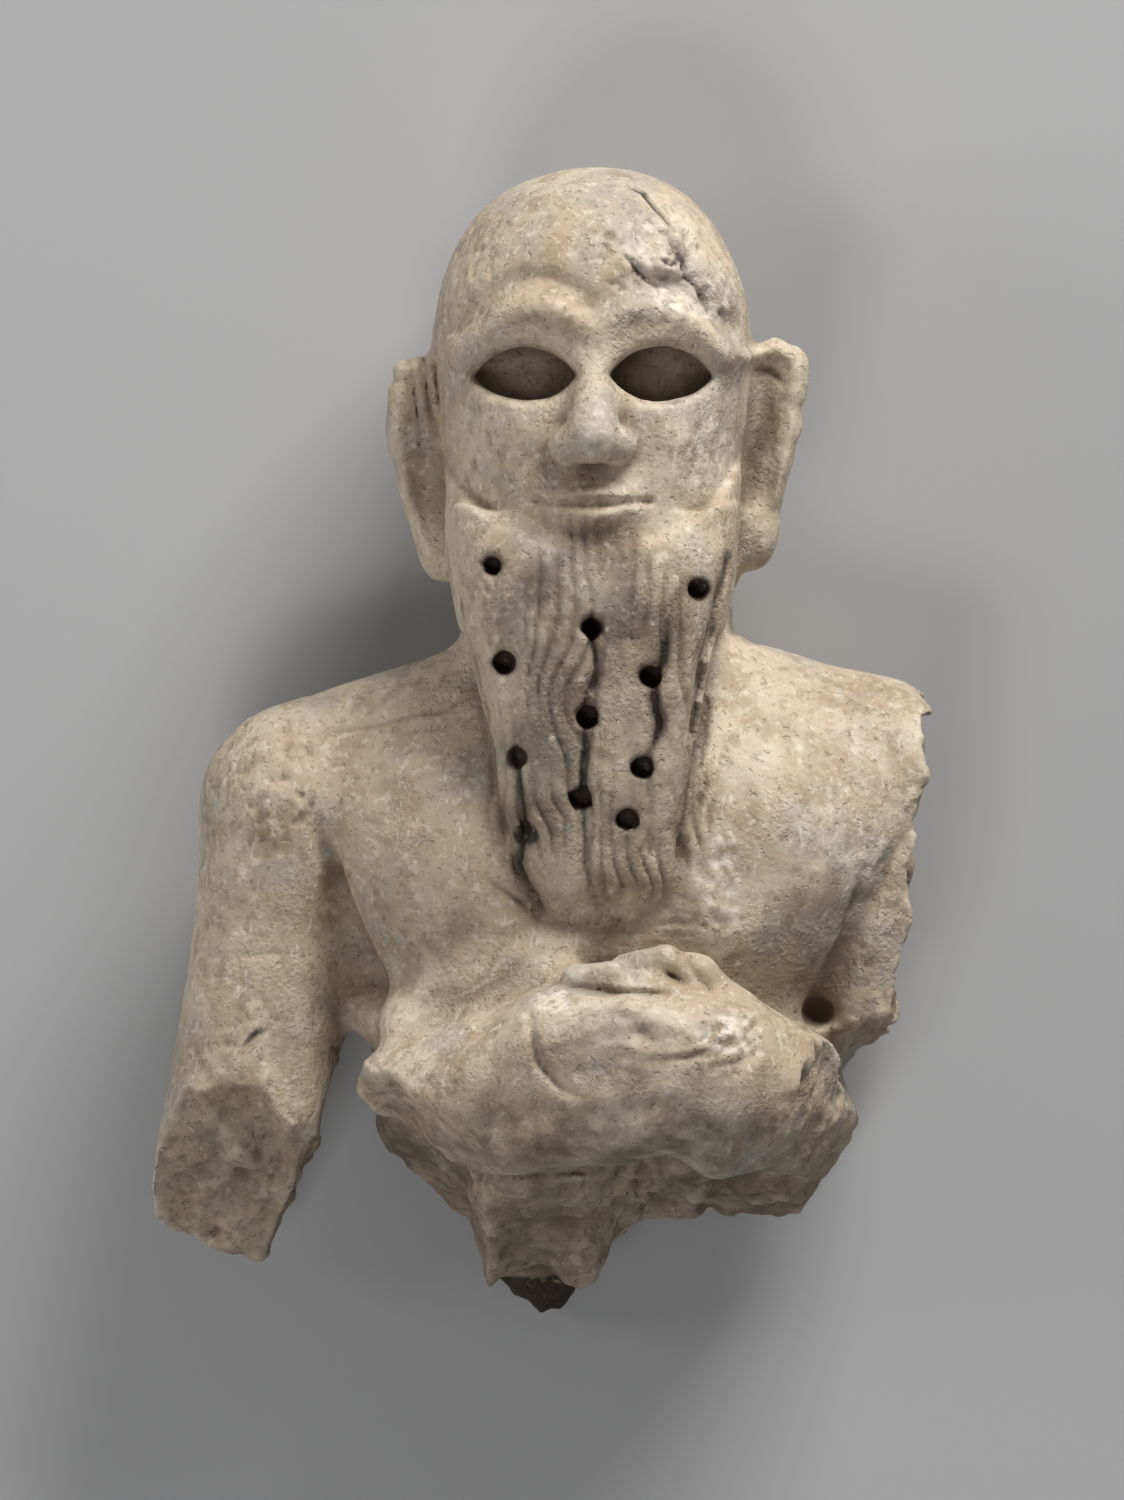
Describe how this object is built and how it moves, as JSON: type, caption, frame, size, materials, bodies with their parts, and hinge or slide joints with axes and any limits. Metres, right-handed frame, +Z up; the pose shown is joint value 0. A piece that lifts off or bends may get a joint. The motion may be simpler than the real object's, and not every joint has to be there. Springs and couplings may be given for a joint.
{
  "type": "praying man statuette",
  "caption": "Broken upper half of a carved stone votive figure of a bearded, shaven-headed man with clasped hands, lying on its back.",
  "frame": {"origin": "bottom centre of the bounding box: the figure lies on its back on the plane z = 0, with the box's middle over the origin", "axes": "+X to the figure's left, +Y up the figure towards the crown of the head, +Z up, out of the chest and face"},
  "size_m": [0.1528, 0.2314, 0.0983],
  "materials": {
    "stone": "worn matt, softly polished where handled, rough on the breaks, dark dirt in holes and grooves"
  },
  "bodies": {
    "root": {"statuette": "stone"}
  },
  "joints": []
}
